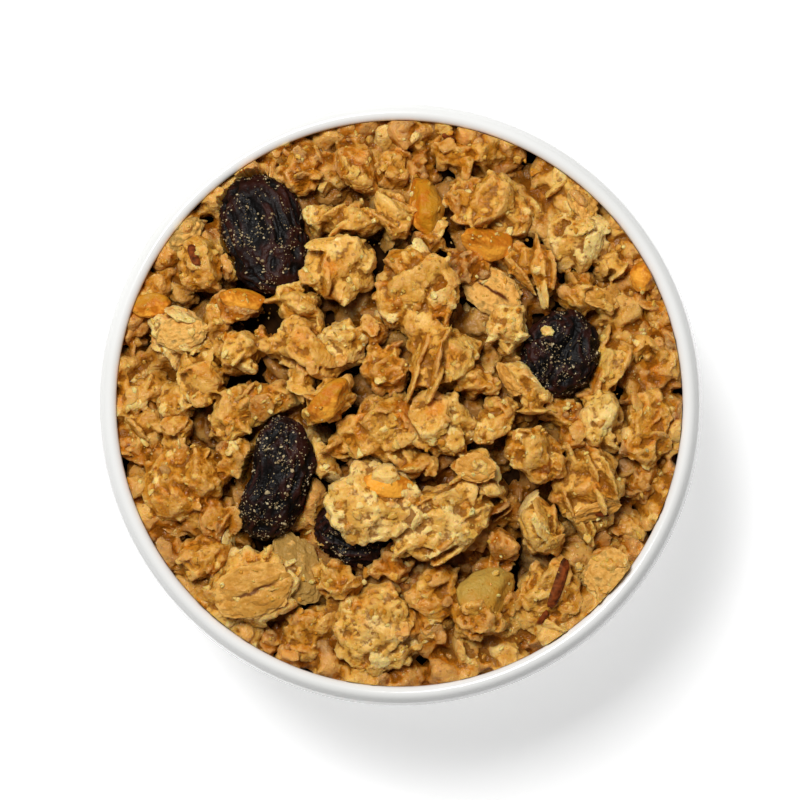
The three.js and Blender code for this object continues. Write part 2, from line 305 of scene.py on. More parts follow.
bed_side = wall_section(
    FLOOR_INSIDE + GAP, INNER_BELLY - GAP, MOUTH_RADIUS - GAP, EDGE_LEVEL - BED_DEPTH
)
bed_edge = bed_side[-1][0]
bed_top = [
    (bed_edge * i / WALL_STEPS, heap_level(bed_edge * i / WALL_STEPS, 0) - BED_DEPTH)
    for i in range(WALL_STEPS - 1, -1, -1)
]
bed = spun("granola_bed", bed_side + bed_top, BED_STEPS)
crumb_in_painted_shade, tree, shader = new_material("crumb_in_painted_shade", 0.8)
shader.inputs["Specular IOR Level"].default_value = 0.05
place = tree.nodes.new("ShaderNodeTexCoord")
grit = tree.nodes.new("ShaderNodeTexVoronoi")
grit.inputs["Scale"].default_value = GRITS_PER_METRE
tree.links.new(place.outputs["Object"], grit.inputs["Vector"])
# painted shade: the bed's crumbs are coloured dark brown to near black for the shade deep in the gaps
tone = colour_scale(tree, grit.outputs["Distance"], BED_SHADE_TONES)
tree.links.new(tone, shader.inputs["Base Color"])
coarseness = add_bump(tree, shader, grit.outputs["Distance"], GRIT_DEPTH, 0.7)
coarseness.invert = True
bed.data.materials.append(crumb_in_painted_shade)
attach(bed, "root")
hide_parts("granola")


# --- Raisins ---------------------------------------------------------------------------------
# Dried whole grapes with a shrivelled, satin skin, near black; maroon on the wrinkles' crests, where
# it is thin, and darker in the folds between, as painted shade.
# Two are pinched at the waist. They lie on the heap, pressed a little into it.
def unit(vectors):
    """Vectors of any number of rows at length 1."""
    return vectors / np.linalg.norm(vectors, axis=-1, keepdims=True)


def bases(normals, headings):
    """Turning matrices whose z follows each normal and whose x lies near each heading."""
    z = unit(normals)
    x = unit(headings - z * np.sum(headings * z, axis=-1, keepdims=True))
    return np.stack([x, np.cross(z, x), z], axis=-1)


def heap_normal(x, y):
    """Upward direction across the heap's mean surface."""
    slope = 2 * CROWN / MOUTH_RADIUS**2
    return unit(np.array([slope * x, slope * y, 1.0]))


def heading_at(turn):
    """Level direction at a turn in degrees."""
    return np.array([math.cos(math.radians(turn)), math.sin(math.radians(turn)), 0.0])


def seat(x, y, turn, lift, tall):
    """Middle and turning matrix of a thing of that height whose top stands lift over the heap."""
    middle = np.array([x, y, heap_level(x, y) + lift - tall / 2])
    return middle, bases(heap_normal(x, y), heading_at(turn))


def edges_of(mesh):
    """The mesh's edges as rows of two corner numbers."""
    edges = np.empty(len(mesh.edges) * 2, dtype=np.int64)
    mesh.edges.foreach_get("vertices", edges)
    return edges.reshape(-1, 2)


def corners_of(mesh):
    """The mesh's corners as rows of x, y and z."""
    points = np.empty(len(mesh.vertices) * 3)
    mesh.vertices.foreach_get("co", points)
    return points.reshape(-1, 3)


def eased(points, edges, rounds):
    """Points moved towards the mean of their neighbours, some rounds over."""
    count = len(points)
    degree = np.maximum(np.bincount(edges.ravel(), minlength=count), 1)
    for _ in range(rounds):
        total = np.empty_like(points)
        for axis in range(3):
            column = points[:, axis]
            total[:, axis] = np.bincount(edges[:, 0], column[edges[:, 1]], count)
            total[:, axis] += np.bincount(edges[:, 1], column[edges[:, 0]], count)
        points = total / degree[:, None]
    return points


CREST_DEPTH = 0.12 * MM


def keep_values(mesh, name, values):
    """Writes a number for each corner of a mesh under a name that a material reads."""
    layer = mesh.attributes.new(name, "FLOAT", "POINT")
    layer.data.foreach_set("value", values.astype(np.float32))


def mark_crests(mesh, rounds):
    """Writes how far each corner stands out of its eased surface, in crest depths."""
    normals = np.empty(len(mesh.vertices) * 3)
    mesh.vertex_normals.foreach_get("vector", normals)
    points = corners_of(mesh)
    moved = points - eased(points, edges_of(mesh), rounds)
    rise = np.sum(moved * normals.reshape(-1, 3), axis=1)
    keep_values(mesh, "crest", np.clip(rise / CREST_DEPTH, -2, 2))


def layer_value(tree, name):
    """A number kept on the mesh's corners."""
    node = tree.nodes.new("ShaderNodeAttribute")
    node.attribute_name = name
    return node.outputs["Fac"]


def numeric(tree, operation, first, second):
    """A Math node's value; each input is a number or a socket."""
    node = tree.nodes.new("ShaderNodeMath")
    node.operation = operation
    for socket, value in zip(node.inputs, (first, second)):
        if isinstance(value, (int, float)):
            socket.default_value = value
        else:
            tree.links.new(value, socket)
    return node.outputs["Value"]


def fade(tree, value, start, end, first=0.0, last=1.0):
    """A number that runs from first to last as a value runs from start to end."""
    return colour_scale(tree, value, ((start, (first,) * 4), (end, (last,) * 4)))


# x, y of the middle, length, width, height, in mm; turn in degrees; lift of the top in mm;
# waist: share of the width lost in the middle; dish: how far the top is sunk; bend: how far the
# ends are bent to the left, in mm
RAISINS = {
    "raisin_upper_left": (-16.8, 21.3, 16.1, 11.2, 7.6, -70, 0.9, 0.12, 0.6, -0.3),
    "raisin_right": (19.9, 6.3, 11.5, 9.3, 7.4, 66, 0.7, 0.02, 1.3, 0.0),
    "raisin_left": (-15.3, -9.4, 15.9, 9.0, 7.4, 73, 0.6, 0.26, 0.3, 1.3),
    "raisin_low": (-5.8, -16.5, 10.0, 7.6, 6.4, -25, -2.3, 0.05, 0.2, 0.0),
}
RAISIN_EASING = 60  # rounds of easing that the crests of the wrinkles are read against
WRINKLE_DEPTH = 1.0 * MM
WRINKLES = (1.9, 2.7, 2.7)  # wrinkles in a half length, a half width and a half height
FINE_WRINKLES = 2.4  # as many times finer
WANDER = 0.75  # how far the wrinkles stray from straight lines
SWELLING = 0.12
WAIST_REACH = 0.34  # in half lengths, as is the next
DISH_REACH = 0.5
SKIN_TONES = (
    (0.3, shade(8, 6, 5)), (0.6, shade(12, 8, 7)), (0.8, shade(24, 12, 9)),
    (1.0, shade(50, 21, 14)),
)
raisin_skin, tree, shader = new_material("raisin_skin", 0.42)
shader.inputs["Specular IOR Level"].default_value = 0.15
# lighter maroon on the wrinkles' crests, where the skin is thin, and darker in the folds, as painted
# shade
thin_skin_and_fold_shade = numeric(tree, "MULTIPLY", layer_value(tree, "crest"), 0.22)
thin_skin_and_fold_shade = numeric(tree, "ADD", thin_skin_and_fold_shade, grain_noise(tree, 3.5 * MM))
tree.links.new(colour_scale(tree, thin_skin_and_fold_shade, SKIN_TONES), shader.inputs["Base Color"])
gloss = fade(tree, grain_noise(tree, 1.2 * MM), 0.3, 0.7, 0.34, 0.56)
tree.links.new(gloss, shader.inputs["Roughness"])
add_bump(tree, shader, grain_noise(tree, 0.42 * MM, 3), 0.2 * MM, 0.9)
WRINKLE_SEED = 6
noise.seed_set(WRINKLE_SEED)  # else the wrinkles stray differently each time


def raisin_mesh(name, seed, length, width, tall, waist, dish, bend):
    """A shrivelled grape lying along x about its middle."""
    bm = bmesh.new()
    bmesh.ops.create_icosphere(bm, subdivisions=6, radius=1)
    drift = Vector((seed * 3.7, seed * 1.9, seed * 5.3))
    for vert in bm.verts:
        p = vert.co.copy()
        warp = noise.noise_vector(p * 1.3 + drift) * WANDER
        along = Vector([share * times for share, times in zip(p, WRINKLES)]) + warp
        fold = 1 - 2.2 * abs(noise.noise(along + drift))
        finer = 1 - 2.0 * abs(noise.noise(along * FINE_WRINKLES - drift))
        swell = noise.noise(p * 1.1 - drift)
        pinch = 1 - waist * math.exp(-((p.x / WAIST_REACH) ** 2))
        sunk = max(0.0, p.z) ** 2 * math.exp(-((p.x / DISH_REACH) ** 2 + (p.y / DISH_REACH) ** 2))
        depth = WRINKLE_DEPTH * (0.6 * fold + 0.3 * finer - 0.6) * (1 - 0.6 * sunk)
        shrink = 1 + depth / (tall / 2) + SWELLING * swell
        vert.co = Vector((
            p.x * length / 2 * (1 + SWELLING / 2 * swell + 0.3 * depth / (tall / 2)),
            p.y * width / 2 * shrink * pinch + bend * (p.x**2 - 0.3),
            p.z * tall / 2 * shrink,
        ))
        vert.co.z -= dish * sunk
    mesh = bpy.data.meshes.new(name)
    bm.to_mesh(mesh)
    bm.free()
    return mesh


raisin_seats = []
raisin_pieces = []
for seed, (node, row) in enumerate(RAISINS.items(), start=4):
    x, y, length, width, tall = (value * MM for value in row[:5])
    turn, lift, waist, dish, bend = row[5], row[6] * MM, row[7], row[8] * MM, row[9] * MM
    middle, turned = seat(x, y, turn, lift, tall)
    raisin_seats.append((middle, turned, np.array([length, width, tall]) / 2))
    mesh = raisin_mesh(f"{node}_skin", seed, length, width, tall, waist, dish, bend)
    mesh.vertices.foreach_set("co", (corners_of(mesh) @ turned.T + middle).ravel())
    mesh.update()
    mark_crests(mesh, RAISIN_EASING)
    mesh.shade_smooth()
    mesh.materials.append(raisin_skin)
    piece = bpy.data.objects.new(f"{node}_skin", mesh)
    scene.collection.objects.link(piece)
    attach(piece, "root")
    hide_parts(node)
    raisin_pieces.append(piece)


# --- Oat clusters ----------------------------------------------------------------------------
# Rolled oats and broken flakes, bound with syrup and baked into rough lumps, golden on their
# crests and darker in their creases; the paler crests are partly painted highlight and the darker
# creases partly painted shade. Each lump is a core with flakes and crumbs stuck all over, fused
# into one skin.
TOP = 2.2  # lift of a lump's top over the mean surface of the heap, in mm, as the others
HIGH = 1.1
MID = -0.3
LOW = -1.9
DEEP = -3.6

# How a lump is built. flake: shortest and longest flake in mm; cover: how many times the flakes
# would cover the lump; tilt: how far they stand off its surface; grains and crumbs: bits on a mm2
KINDS = {
    "crumbly": {"flake": (1.8, 3.4), "cover": 0.6, "tilt": 0.18, "grains": 0.6, "crumbs": 0.6},
    "plates": {"flake": (2.6, 5.0), "cover": 0.9, "tilt": 0.13, "grains": 0.25, "crumbs": 0.4},
    "ridged": {"flake": (3.0, 5.6), "cover": 1.5, "tilt": 0.12, "grains": 0.25, "crumbs": 0.35},
    "smooth": {"flake": (2.6, 4.6), "cover": 0.5, "tilt": 0.07, "grains": 0.14, "crumbs": 0.25},
}
# x, y of the middle, length, width, in mm; turn in degrees; lift; kind; tint from 0, pale, to
# 1, dark toasted
CLUSTERS = [
    (-12.4, 29.8, 7.5, 6.3, 60, HIGH, "crumbly", 0.62),
    (-21.4, 26.7, 6.0, 3.6, 45, MID, "plates", 0.50),
    (-26.9, 21.3, 4.6, 3.0, 40, HIGH, "smooth", 0.06),
    (-24.9, 17.5, 7.5, 6.0, 110, HIGH, "crumbly", 0.45),
    (-21.2, 16.9, 3.6, 3.0, -45, MID, "crumbly", 0.70),
    (-30.4, 14.6, 5.0, 4.0, 20, MID, "crumbly", 0.50),
    (-20.6, 12.3, 7.0, 3.8, 0, MID, "plates", 0.85),
    (-12.6, 12.3, 6.6, 5.0, -30, HIGH, "smooth", 0.30),
    (-5.6, 33.0, 6.0, 3.6, 10, MID, "crumbly", 0.62),
    (-4.9, 29.4, 7.5, 5.0, -60, HIGH, "crumbly", 0.62),
    (-0.9, 29.6, 7.0, 4.2, 80, MID, "crumbly", 0.45),
    (6.6, 31.0, 7.6, 4.0, -45, HIGH, "smooth", 0.58),
    (11.0, 32.0, 8.6, 4.0, -18, HIGH, "crumbly", 0.50),
    (-0.9, 23.6, 7.6, 4.6, -60, HIGH, "plates", 0.30),
    (-6.2, 22.7, 6.5, 3.6, 30, HIGH, "ridged", 0.40),
    (-9.7, 22.7, 5.0, 3.4, 0, MID, "crumbly", 0.45),
    (-7.4, 16.7, 8.6, 8.0, -60, TOP, "plates", 0.25),
    (2.2, 13.9, 11.4, 8.6, -80, HIGH, "crumbly", 0.42),
    (11.3, 24.4, 12.0, 6.6, -25, HIGH, "crumbly", 0.42),
    (13.4, 9.6, 5.6, 5.0, -60, HIGH, "crumbly", 0.20),
    (21.6, 26.2, 8.4, 6.2, -50, HIGH, "plates", 0.35),
    (21.7, 20.1, 8.5, 7.0, -45, HIGH, "plates", 0.18),
    (25.9, 17.3, 4.6, 4.0, 0, MID, "smooth", 0.25),
    (17.9, 16.4, 7.0, 2.8, 95, HIGH, "ridged", 0.50),
    (15.1, 17.9, 6.0, 3.5, -50, MID, "ridged", 0.50),
    (24.8, 13.1, 4.6, 2.6, -8, MID, "smooth", 0.30),
    (30.0, 16.4, 5.6, 3.8, -65, HIGH, "crumbly", 0.62),
    (21.8, 13.0, 5.0, 3.0, -20, MID, "crumbly", 0.50),
    (-28.0, 8.3, 8.2, 5.8, 0, HIGH, "plates", 0.05),
    (-23.1, 9.4, 4.4, 4.0, 0, MID, "crumbly", 0.45),
    (-24.8, 2.8, 7.2, 5.8, -45, HIGH, "plates", 0.40),
    (-27.7, 0.5, 5.6, 4.6, -30, MID, "plates", 0.25),
    (-19.9, 6.3, 5.8, 5.2, -30, HIGH, "crumbly", 0.35),
    (-16.9, 7.3, 4.0, 2.0, -55, MID, "crumbly", 0.40),
    (-31.6, 1.9, 6.0, 4.0, 20, MID, "crumbly", 0.45),
    (-31.6, -3.0, 6.0, 4.6, 5, MID, "smooth", 0.35),
    (-20.3, -1.4, 8.0, 5.6, 55, HIGH, "crumbly", 0.35),
    (-20.2, -6.8, 5.4, 4.6, 0, MID, "crumbly", 0.50),
    (-27.7, -3.1, 4.8, 3.2, -50, MID, "smooth", 0.55),
    (-28.2, -10.4, 9.6, 7.6, -15, HIGH, "crumbly", 0.50),
    (-24.2, -8.6, 6.4, 5.0, -50, HIGH, "plates", 0.50),
    (-11.6, 6.7, 9.6, 6.4, -20, HIGH, "smooth", 0.35),
    (-6.8, 7.3, 5.8, 5.4, 0, HIGH, "crumbly", 0.18),
    (-12.1, 2.9, 5.0, 3.6, 80, MID, "smooth", 0.30),
    (-16.0, 0.8, 7.0, 4.0, 0, MID, "smooth", 0.50),
    (-3.4, 9.0, 4.4, 3.8, 0, MID, "smooth", 0.60),
    (-1.9, 4.2, 6.8, 5.4, -60, MID, "crumbly", 0.55),
    (-8.6, 0.2, 7.6, 5.0, 35, 1.4, "smooth", 0.50),
    (5.1, 5.4, 8.6, 7.4, 70, HIGH, "ridged", 0.42),
    (-1.6, -2.9, 10.0, 8.0, 20, MID, "smooth", 0.42),
    (4.7, -2.7, 9.5, 7.0, -20, HIGH, "crumbly", 0.22),
    (9.2, 2.6, 5.6, 4.0, 0, MID, "crumbly", 0.50),
    (11.8, -2.0, 6.4, 4.6, 60, MID, "crumbly", 0.40),
    (9.4, -7.7, 5.0, 4.2, -10, HIGH, "smooth", 0.30),
    (10.9, -10.6, 5.0, 2.4, -5, MID, "smooth", 0.20),
    (-2.7, -12.1, 12.0, 9.2, -8, 2.0, "crumbly", 0.08),
    (1.7, -7.4, 6.5, 3.0, -5, MID, "smooth", 0.45),
    (15.7, 2.2, 7.4, 4.2, -38, HIGH, "plates", 0.30),
    (26.1, 4.4, 8.0, 3.2, 72, MID, "ridged", 0.35),
    (25.3, -2.1, 7.6, 5.6, 90, HIGH, "crumbly", 0.22),
    (21.6, -3.1, 7.0, 3.2, 80, MID, "crumbly", 0.70),
    (30.0, 7.0, 6.0, 4.0, -10, MID, "crumbly", 0.45),
    (31.0, -3.0, 9.4, 6.6, 80, HIGH, "crumbly", 0.46),
    (17.1, -6.2, 7.8, 6.0, -15, HIGH, "crumbly", 0.45),
    (23.6, -10.8, 9.8, 8.0, -65, HIGH, "ridged", 0.34),
    (30.0, -9.8, 5.6, 5.0, 70, MID, "crumbly", 0.75),
    (-23.1, -14.2, 6.4, 4.0, 10, MID, "plates", 0.65),
    (-24.7, -19.4, 8.6, 5.2, 25, HIGH, "crumbly", 0.50),
    (-18.9, -22.9, 13.0, 8.6, 25, TOP, "plates", 0.20),
    (-21.2, -26.0, 6.0, 4.0, -20, MID, "plates", 0.25),
    (-11.4, -28.9, 7.4, 6.0, 40, MID, "crumbly", 0.50),
    (-8.3, -21.8, 5.6, 4.4, 0, MID, "smooth", 0.50),
    (5.1, -14.8, 13.0, 7.6, 32, HIGH, "ridged", 0.22),
    (-2.7, -28.0, 11.6, 10.0, -50, HIGH, "crumbly", 0.33),
    (4.6, -24.2, 8.6, 6.0, 80, MID, "crumbly", 0.50),
    (10.2, -26.0, 9.0, 6.6, 50, HIGH, "crumbly", 0.50),
    (12.6, -17.7, 5.0, 3.0, -55, MID, "crumbly", 0.75),
    (17.7, -15.6, 7.6, 5.2, -65, HIGH, "plates", 0.28),
    (18.6, -24.4, 10.4, 7.0, 80, HIGH, "plates", 0.42),
    (26.4, -21.0, 8.0, 6.4, 35, HIGH, "plates", 0.28),
    (28.4, -15.4, 5.6, 4.4, 30, MID, "crumbly", 0.50),
    (15.6, -30.4, 8.0, 3.8, 30, LOW, "crumbly", 0.85),
    # Smaller ones, deeper in the gaps between those
    (-30.9, 12.2, 5.0, 3.4, 10, LOW, "smooth", 0.85),
    (-27.2, 13.6, 4.2, 3.4, 0, LOW, "crumbly", 0.45),
    (-1.8, 32.8, 4.2, 3.8, 0, MID, "smooth", 0.20),
    (1.6, 33.0, 4.6, 3.8, 0, MID, "crumbly", 0.50),
    (-8.9, 27.1, 5.6, 4.8, 0, DEEP, "smooth", 0.55),
    (2.6, 29.2, 4.8, 3.6, 0, LOW, "crumbly", 0.80),
    (3.8, 20.1, 4.6, 3.6, 0, LOW, "smooth", 0.60),
    (8.3, 16.9, 5.2, 4.4, 0, LOW, "crumbly", 0.85),
    (13.6, 28.0, 5.4, 3.8, -40, DEEP, "smooth", 0.50),
    (16.6, 27.4, 5.0, 3.4, -80, DEEP, "smooth", 0.70),
    (26.9, 21.9, 6.4, 4.0, -50, LOW, "crumbly", 0.90),
    (22.6, 15.0, 4.6, 3.6, 0, LOW, "smooth", 0.50),
    (32.0, 11.3, 6.4, 3.6, -80, MID, "plates", 0.50),
    (-33.0, 9.0, 5.4, 3.4, 70, MID, "crumbly", 0.85),
    (-32.6, -6.2, 4.8, 3.6, 0, MID, "smooth", 0.60),
    (-32.2, -9.0, 5.0, 3.6, 0, LOW, "crumbly", 0.60),
    (-29.3, -15.9, 5.4, 4.2, 0, LOW, "plates", 0.65),
    (-22.2, -16.2, 4.6, 3.6, 0, LOW, "smooth", 0.28),
    (-6.4, -5.0, 5.6, 4.2, 0, LOW, "smooth", 0.50),
    (-9.4, -6.7, 6.4, 2.8, -50, DEEP, "smooth", 0.40),
    (14.8, -1.2, 5.0, 4.0, 0, DEEP, "crumbly", 0.60),
    (19.7, -0.8, 5.0, 3.6, 0, LOW, "smooth", 0.60),
    (33.2, 6.4, 6.0, 3.2, -80, MID, "crumbly", 0.55),
    (32.6, -8.9, 5.4, 3.6, 70, LOW, "crumbly", 0.80),
    (27.6, -6.1, 5.0, 3.8, 0, LOW, "crumbly", 0.50),
    (-16.4, -28.9, 5.0, 3.8, 0, MID, "crumbly", 0.75),
    (-0.9, -20.2, 5.4, 4.0, 0, LOW, "crumbly", 0.50),
    (-6.8, -24.0, 5.0, 4.2, 0, LOW, "smooth", 0.50),
    (11.3, -21.2, 5.0, 4.0, 0, DEEP, "crumbly", 0.60),
    (8.0, -32.6, 6.4, 4.4, 0, LOW, "crumbly", 0.60),
    (24.0, -25.6, 5.2, 4.2, 0, LOW, "crumbly", 0.60),
    (13.8, -13.6, 5.4, 4.4, 0, DEEP, "smooth", 0.60),
    (22.4, -17.2, 5.0, 4.0, 0, DEEP, "smooth", 0.55),
]


def chunk_form(seed, subdivisions, raggedness, cuts=0, curl=0.0, table=1.0):
    """Corners and triangles of a ragged ball of radius 1, cut flat on some sides.

    Its top is cut at the height of table and drawn up again to 1, as a broad flat face.
    """
    bm = bmesh.new()
    bmesh.ops.create_icosphere(bm, subdivisions=subdivisions, radius=1)
    rng = np.random.default_rng(seed)
    ways = [Vector(way) for way in unit(rng.normal(size=(cuts, 3)))]
    reaches = rng.uniform(0.5, 0.82, cuts)
    drift = Vector((seed * 7.3, seed * 3.1, seed * 5.7))
    for vert in bm.verts:
        for way, reach in zip(ways, reaches):
            vert.co -= way * max(0.0, vert.co.dot(way) - reach)
        vert.co.z = min(vert.co.z, table) / (table if vert.co.z > 0 else 1)
        wave = noise.noise(vert.co * 1.7 + drift) + 0.6 * noise.noise(vert.co * 4.1 - drift)
        vert.co *= 1 + raggedness * wave
        vert.co.z += curl * vert.co.x**2
    bm.verts.index_update()
    corners = np.array([vert.co[:] for vert in bm.verts])
    triangles = np.array([[vert.index for vert in face.verts] for face in bm.faces])
    bm.free()
    return corners, triangles


FLAKES = [chunk_form(seed, 3, 0.32, 0, 0.3 * (seed % 3 - 1)) for seed in range(1, 10)]
GRAINS = [chunk_form(seed, 1, 0.35, 5) for seed in range(31, 43)]
CRUMBS = [chunk_form(seed, 1, 0.5, 2) for seed in range(11, 19)]
BLOCKS = [chunk_form(seed, 3, 0.2, 9, table=0.7) for seed in range(21, 31)]


class Pile:
    """Copies of small forms, joined into one loose mesh with a tint for each copy."""

    def __init__(self):
        self.corners, self.triangles, self.tints, self.count = [], [], [], 0

    def add(self, rng, forms, middles, turns, sizes, tints):
        """Adds one copy for each middle, sized, turned and moved; all forms are equally fine."""
        picks = rng.integers(len(forms), size=len(middles))
        shapes = np.stack([corners for corners, _ in forms])[picks] * sizes[:, None, :]
        placed = np.einsum("nij,nvj->nvi", turns, shapes) + middles[:, None, :]
        per_copy = shapes.shape[1]
        starts = self.count + per_copy * np.arange(len(picks))
        faces = np.stack([triangles for _, triangles in forms])[picks] + starts[:, None, None]
        self.corners.append(placed.reshape(-1, 3))
        self.triangles.append(faces.reshape(-1, 3))
        self.tints.append(np.repeat(tints, faces.shape[1]))
        self.count += placed.shape[0] * per_copy

    def take(self, other):
        """Adds all that another pile holds."""
        self.corners += other.corners
        self.triangles += [triangles + self.count for triangles in other.triangles]
        self.tints += other.tints
        self.count += other.count

    def joined(self):
        """All corners, all triangles and a tint for each triangle."""
        return tuple(map(np.concatenate, (self.corners, self.triangles, self.tints)))


def upper_spots(rng, corners, triangles, count):
    """Random places on the upper side of a surface, with the outward direction at each."""
    a, b, c = (corners[triangles[:, side]] for side in range(3))
    outward = np.cross(b - a, c - a)
    area = np.linalg.norm(outward, axis=1)
    weight = area * (outward[:, 2] > -0.3 * area)
    picks = rng.choice(len(triangles), size=count, p=weight / weight.sum())
    share = rng.dirichlet((1, 1, 1), size=count)[:, :, None]
    places = a[picks] * share[:, 0] + b[picks] * share[:, 1] + c[picks] * share[:, 2]
    return places, outward[picks] / area[picks, None]


def add_cluster(pile, rng, x, y, length, width, turn, lift, kind, tint):
    """Adds one lump with its flakes, grains and crumbs to a pile. Metres; turn in degrees."""
    build = KINDS[kind]
    tall = max(0.76 * width, lift + 6.2 * MM)
    semi = np.array([1.04 * length, 1.04 * width, tall]) / 2
    middle, turned = seat(x, y, turn, lift, tall)

    # One large block and smaller ones round its side make the body of the lump
    count = 2 + round(length * width / (9 * MM * MM))
    rounds = 2 * math.pi * (np.arange(count) / count + rng.uniform(0, 1))
    offsets = np.stack([np.cos(rounds), np.sin(rounds), rng.uniform(-0.5, 0.45, count)], axis=-1)
    offsets *= rng.uniform(0.5, 0.68, (count, 1))
    places = np.vstack([np.zeros((1, 3)), offsets]) * semi
    scales = np.append(rng.uniform(0.9, 1.0), rng.uniform(0.42, 0.62, count))
    sizes = scales[:, None] * semi * rng.uniform(0.88, 1.1, (count + 1, 3))
    headings = heading_at(turn) + 0.5 * rng.normal(size=(count + 1, 3))
    upward = turned[:, 2] + 0.16 * rng.normal(size=(count + 1, 3))
    body = Pile()
    body.add(
        rng, BLOCKS, middle + places @ turned.T, bases(upward, headings), sizes,
        tint + rng.normal(0, 0.07, count + 1),
    )
    corners, triangles, tints = body.joined()
    pile.take(body)

    area = math.pi * semi[0] * semi[1] * 1.9
    low, high = (value * MM for value in build["flake"])
    mean_flake = math.pi / 4 * ((low + high) / 2) ** 2 * 0.66
    count = max(4, round(build["cover"] * area / mean_flake))
    reach = np.minimum(rng.uniform(low, high, count) / 2, 0.5 * length)
    places, outward = upper_spots(rng, corners, triangles, count)
    scatter = build["tilt"] * rng.normal(size=(count, 3))
    normals, headings = outward + scatter, rng.normal(size=(count, 3))
    places = places + (0.3 if kind == "ridged" else -0.16) * MM * outward
    if kind == "ridged":
        normals = np.cross(turned[:, 2], heading_at(turn)) + scatter
        headings = heading_at(turn) + 0.16 * rng.normal(size=(count, 3))
    thick = rng.uniform(0.34, 0.5, count) * MM
    sizes = np.stack([reach, reach * rng.uniform(0.55, 0.85, count), thick], axis=-1)
    pile.add(rng, FLAKES, places, bases(normals, headings), sizes, tint + rng.normal(0, 0.2, count))

    for forms, share, low, high in (
        (GRAINS, build["grains"], 0.42, 1.0), (CRUMBS, build["crumbs"], 0.18, 0.42)
    ):
        count = round(share * area / MM**2)
        places, outward = upper_spots(rng, corners, triangles, count)
        sizes = rng.uniform(low, high, (count, 1)) * MM * rng.uniform(0.6, 1.25, (count, 3))
        sizes[:, 2] *= 0.6
        turns = bases(outward + 0.4 * rng.normal(size=(count, 3)), rng.normal(size=(count, 3)))
        pile.add(rng, forms, places, turns, sizes, tint + rng.normal(0, 0.24, count))


WALL_GAP = 0.1 * MM
SUNK = 1 * MM  # a raisin whose top lies deeper than this is partly covered
RAISIN_COVER = 0.93  # share of a raisin's outline that is kept free, if it is not


def wall_limit(z):
    """Inner radius of the bowl's wall at each height, with a straight side above the lip."""
    lean = np.clip((z - BELLY_HEIGHT) / (RIM_HEIGHT - BELLY_HEIGHT), 0, 1)
    return INNER_BELLY - (INNER_BELLY - MOUTH_RADIUS) * lean**2 - WALL_GAP


def kept_clear(points):
    """Points moved in from the bowl's wall and down to the underside of the raisins."""
    for middle, turned, semi in raisin_seats:
        local = (points - middle) @ turned / semi
        across = np.hypot(local[:, 0], local[:, 1])
        lying_on_top = middle[2] + semi[2] > heap_level(middle[0], middle[1]) - SUNK
        under = np.linalg.norm(local, axis=1) < 1
        if lying_on_top:
            under |= (across < RAISIN_COVER) & (local[:, 2] > 0)
        local[under, 2] = -np.sqrt(np.maximum(0.0, 1 - across[under] ** 2))
        points[under] = (local[under] * semi) @ turned.T + middle
    radius = np.hypot(points[:, 0], points[:, 1])
    points[:, :2] *= np.minimum(1, wall_limit(points[:, 2]) / np.maximum(radius, MM))[:, None]
    return points


SKIN_EASING = 9  # rounds of easing that a lump's crests are read against


def fused(name, pile, voxel, lumpiness, ratio):
    """A pile's copies fused into one closed skin, roughened, with its tint and its crests."""
    corners, triangles, tints = pile.joined()
    loose = bpy.data.meshes.new("loose")
    loose.from_pydata(corners.tolist(), [], triangles.tolist())
    work = bpy.data.objects.new("work", loose)
    scene.collection.objects.link(work)
    skin = work.modifiers.new("skin", "REMESH")
    skin.mode = "VOXEL"
    skin.voxel_size = voxel
    coat = work.modifiers.new("coat", "SMOOTH")
    coat.factor = 0.5
    coat.iterations = 1
    for size, strength in lumpiness:
        grain = bpy.data.textures.new("grain", "CLOUDS")
        grain.noise_scale = size
        grain.noise_depth = 1
        rough = work.modifiers.new("rough", "DISPLACE")
        rough.texture = grain
        rough.texture_coords = "LOCAL"
        rough.strength = strength
        rough.mid_level = 0.5
    thin = work.modifiers.new("thin", "DECIMATE")
    thin.ratio = ratio
    depsgraph = bpy.context.evaluated_depsgraph_get()
    mesh = bpy.data.meshes.new_from_object(work.evaluated_get(depsgraph))
    bpy.data.objects.remove(work)
    mesh.name = name
    points = kept_clear(corners_of(mesh))
    mesh.vertices.foreach_set("co", points.ravel())
    mesh.update()
    mark_crests(mesh, SKIN_EASING)
    nearest = BVHTree.FromPolygons(corners.tolist(), triangles.tolist()).find_nearest
    owners = np.array([nearest(point)[2] for point in points.tolist()])
    keep_values(mesh, "tint", tints[owners])
    mesh.shade_flat()
    piece = bpy.data.objects.new(name, mesh)
    scene.collection.objects.link(piece)
    return piece


def finish_oats(piece, material):
    """Gives an oat piece its finish and its place in the heap."""
    piece.data.materials.append(material)
    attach(piece, "root")
    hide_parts("granola")


# Baked oats: cream to toasted by their tint, with patches of orange syrup, paler crests, partly
# painted highlight, brown creases, partly syrup and partly painted shade, dark specks that are partly
# bran and partly painted shade in fine pits, and painted shade on what lies deep in the heap
TINT_STOPS = (
    (0.0, shade(254, 218, 138)), (0.22, shade(234, 180, 82)), (0.5, shade(206, 138, 36)),
    (0.75, shade(196, 116, 20)), (1.0, shade(140, 74, 14)),
)
SYRUP = shade(224, 134, 22)
CREASE_SYRUP_AND_SHADE = shade(142, 80, 8)
CREST_CREAM_AND_HIGHLIGHT = shade(244, 202, 124)
BRAN_AND_PIT_SHADE = shade(126, 62, 12)
SHADED = shade(100, 54, 6)
baked_oats, tree, shader = new_material("baked_oats", 0.5)
SYRUP_GLINT = (1.0, 0.74, 0.36, 1.0)
shader.inputs["Specular IOR Level"].default_value = 0.18
shader.inputs["Specular Tint"].default_value = SYRUP_GLINT
shader.inputs["Coat Weight"].default_value = 0.32
shader.inputs["Coat Roughness"].default_value = 0.14
patch = numeric(tree, "SUBTRACT", grain_noise(tree, 2.4 * MM, 3), 0.5)
